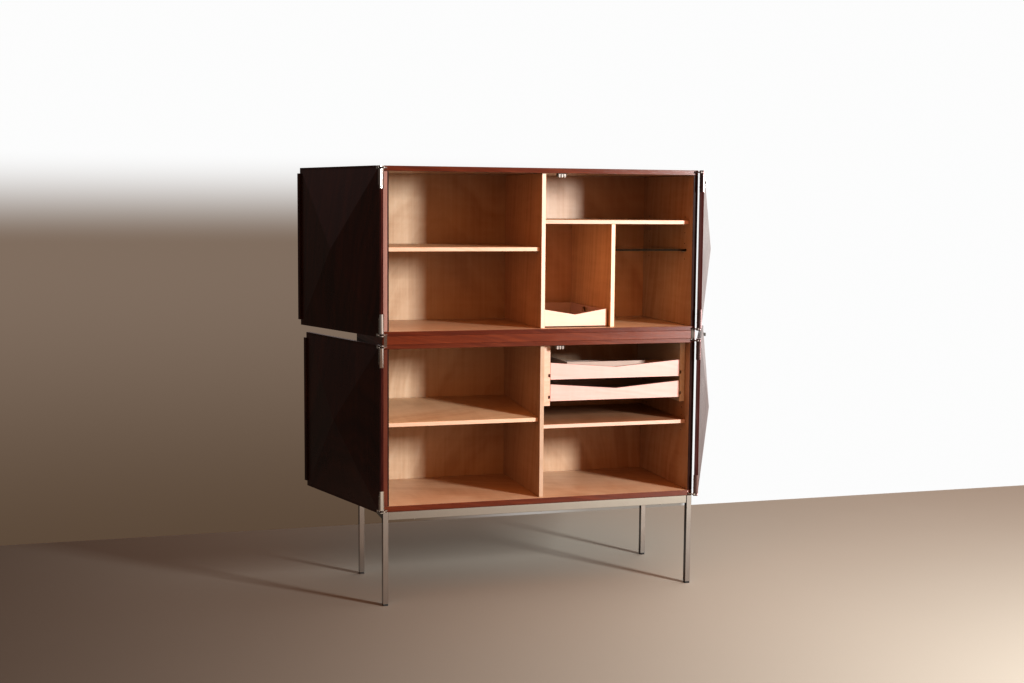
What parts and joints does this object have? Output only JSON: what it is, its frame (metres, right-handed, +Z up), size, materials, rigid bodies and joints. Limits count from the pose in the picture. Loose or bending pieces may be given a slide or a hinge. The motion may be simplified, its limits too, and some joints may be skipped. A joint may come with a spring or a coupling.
{
  "type": "highboard",
  "caption": "Two-part highboard on a slim square-tube base, with pivoted diamond-point doors standing open, adjustable shelves, a glass shelf and notch-fronted trays.",
  "frame": {"origin": "bottom centre of the bounding box with the doors at rest, wide open, on the floor", "axes": "+X to the right of a person facing the open front, +Y to the back, +Z up"},
  "size_m": [1.6902, 0.5848, 1.576],
  "materials": {
    "dark_wood": "glossy lacquered dark red-brown veneer",
    "light_wood": "satin pale veneer",
    "bright_metal": "polished square tube",
    "fitting_metal": "satin nickel",
    "glass": "clear",
    "pad": "matt"
  },
  "bodies": {
    "cabinet": {"upper_bottom": "dark_wood", "upper_top": "dark_wood", "upper_side_left": "dark_wood", "upper_side_right": "dark_wood", "lower_bottom": "dark_wood", "lower_top": "dark_wood", "lower_side_left": "dark_wood", "lower_side_right": "dark_wood", "spacer_board": "dark_wood", "upper_back": "light_wood", "upper_divider": "light_wood", "lower_back": "light_wood", "lower_divider": "light_wood", "shelf_upper_left": "light_wood", "shelf_lower_left": "light_wood", "shelf_upper_right": "light_wood", "shelf_lower_right": "light_wood", "subdivider": "light_wood", "tray_guide_left": "light_wood", "tray_guide_right": "light_wood", "leg_front_left": "bright_metal", "leg_front_right": "bright_metal", "leg_rear_left": "bright_metal", "leg_rear_right": "bright_metal", "base_rail_front": "bright_metal", "base_rail_rear": "bright_metal", "base_rail_left": "bright_metal", "base_rail_right": "bright_metal", "pivot_arm_top_left": "fitting_metal", "pivot_arm_top_right": "fitting_metal", "pivot_arm_bottom_left": "fitting_metal", "pivot_arm_bottom_right": "fitting_metal", "pivot_bracket_middle_left": "fitting_metal", "pivot_bracket_middle_right": "fitting_metal", "catch_upper": "fitting_metal", "catch_lower": "fitting_metal", "foot_pad_front_left": "pad", "foot_pad_front_right": "pad", "foot_pad_rear_left": "pad", "foot_pad_rear_right": "pad", "glass_shelf": "glass"},
    "upper_left_door": {"door_upper_left": "dark_wood", "hinge_upper_left_top": "fitting_metal", "hinge_upper_left_bottom": "fitting_metal", "meeting_strip_upper_left": "dark_wood"},
    "upper_right_door": {"door_upper_right": "dark_wood", "hinge_upper_right_top": "fitting_metal", "hinge_upper_right_bottom": "fitting_metal"},
    "lower_left_door": {"door_lower_left": "dark_wood", "hinge_lower_left_top": "fitting_metal", "hinge_lower_left_bottom": "fitting_metal", "meeting_strip_lower_left": "dark_wood"},
    "lower_right_door": {"door_lower_right": "dark_wood", "hinge_lower_right_top": "fitting_metal", "hinge_lower_right_bottom": "fitting_metal"},
    "upper_tray": {"tray_upper_front": "light_wood", "tray_upper_box": "light_wood"},
    "lower_tray": {"tray_lower_front": "light_wood", "tray_lower_box": "light_wood"},
    "small_tray": {"bar_tray": "light_wood"}
  },
  "joints": [
    {"name": "upper_left_door_pivot", "type": "hinge", "parent": "cabinet", "child": "upper_left_door", "pos_m": [-0.62725, -0.28364, 1.276], "axis": [0, 0, -1], "range_deg": [-251.1, 8.9]},
    {"name": "lower_left_door_pivot", "type": "hinge", "parent": "cabinet", "child": "lower_left_door", "pos_m": [-0.62725, -0.28364, 0.645], "axis": [0, 0, -1], "range_deg": [-253.3, 6.7]},
    {"name": "upper_right_door_pivot", "type": "hinge", "parent": "cabinet", "child": "upper_right_door", "pos_m": [0.57475, -0.28364, 1.276], "axis": [0, 0, 1], "range_deg": [-245.8, 14.2]},
    {"name": "lower_right_door_pivot", "type": "hinge", "parent": "cabinet", "child": "lower_right_door", "pos_m": [0.57475, -0.28364, 0.645], "axis": [0, 0, 1], "range_deg": [-244.6, 15.4]},
    {"name": "upper_tray_slide", "type": "slide", "parent": "cabinet", "child": "upper_tray", "axis": [0, -1, 0], "range_m": [0, 0.26]},
    {"name": "lower_tray_slide", "type": "slide", "parent": "cabinet", "child": "lower_tray", "axis": [0, -1, 0], "range_m": [0, 0.26]},
    {"name": "small_tray_slide", "type": "slide", "parent": "cabinet", "child": "small_tray", "axis": [0, -1, 0], "range_m": [0, 0.3]}
  ]
}
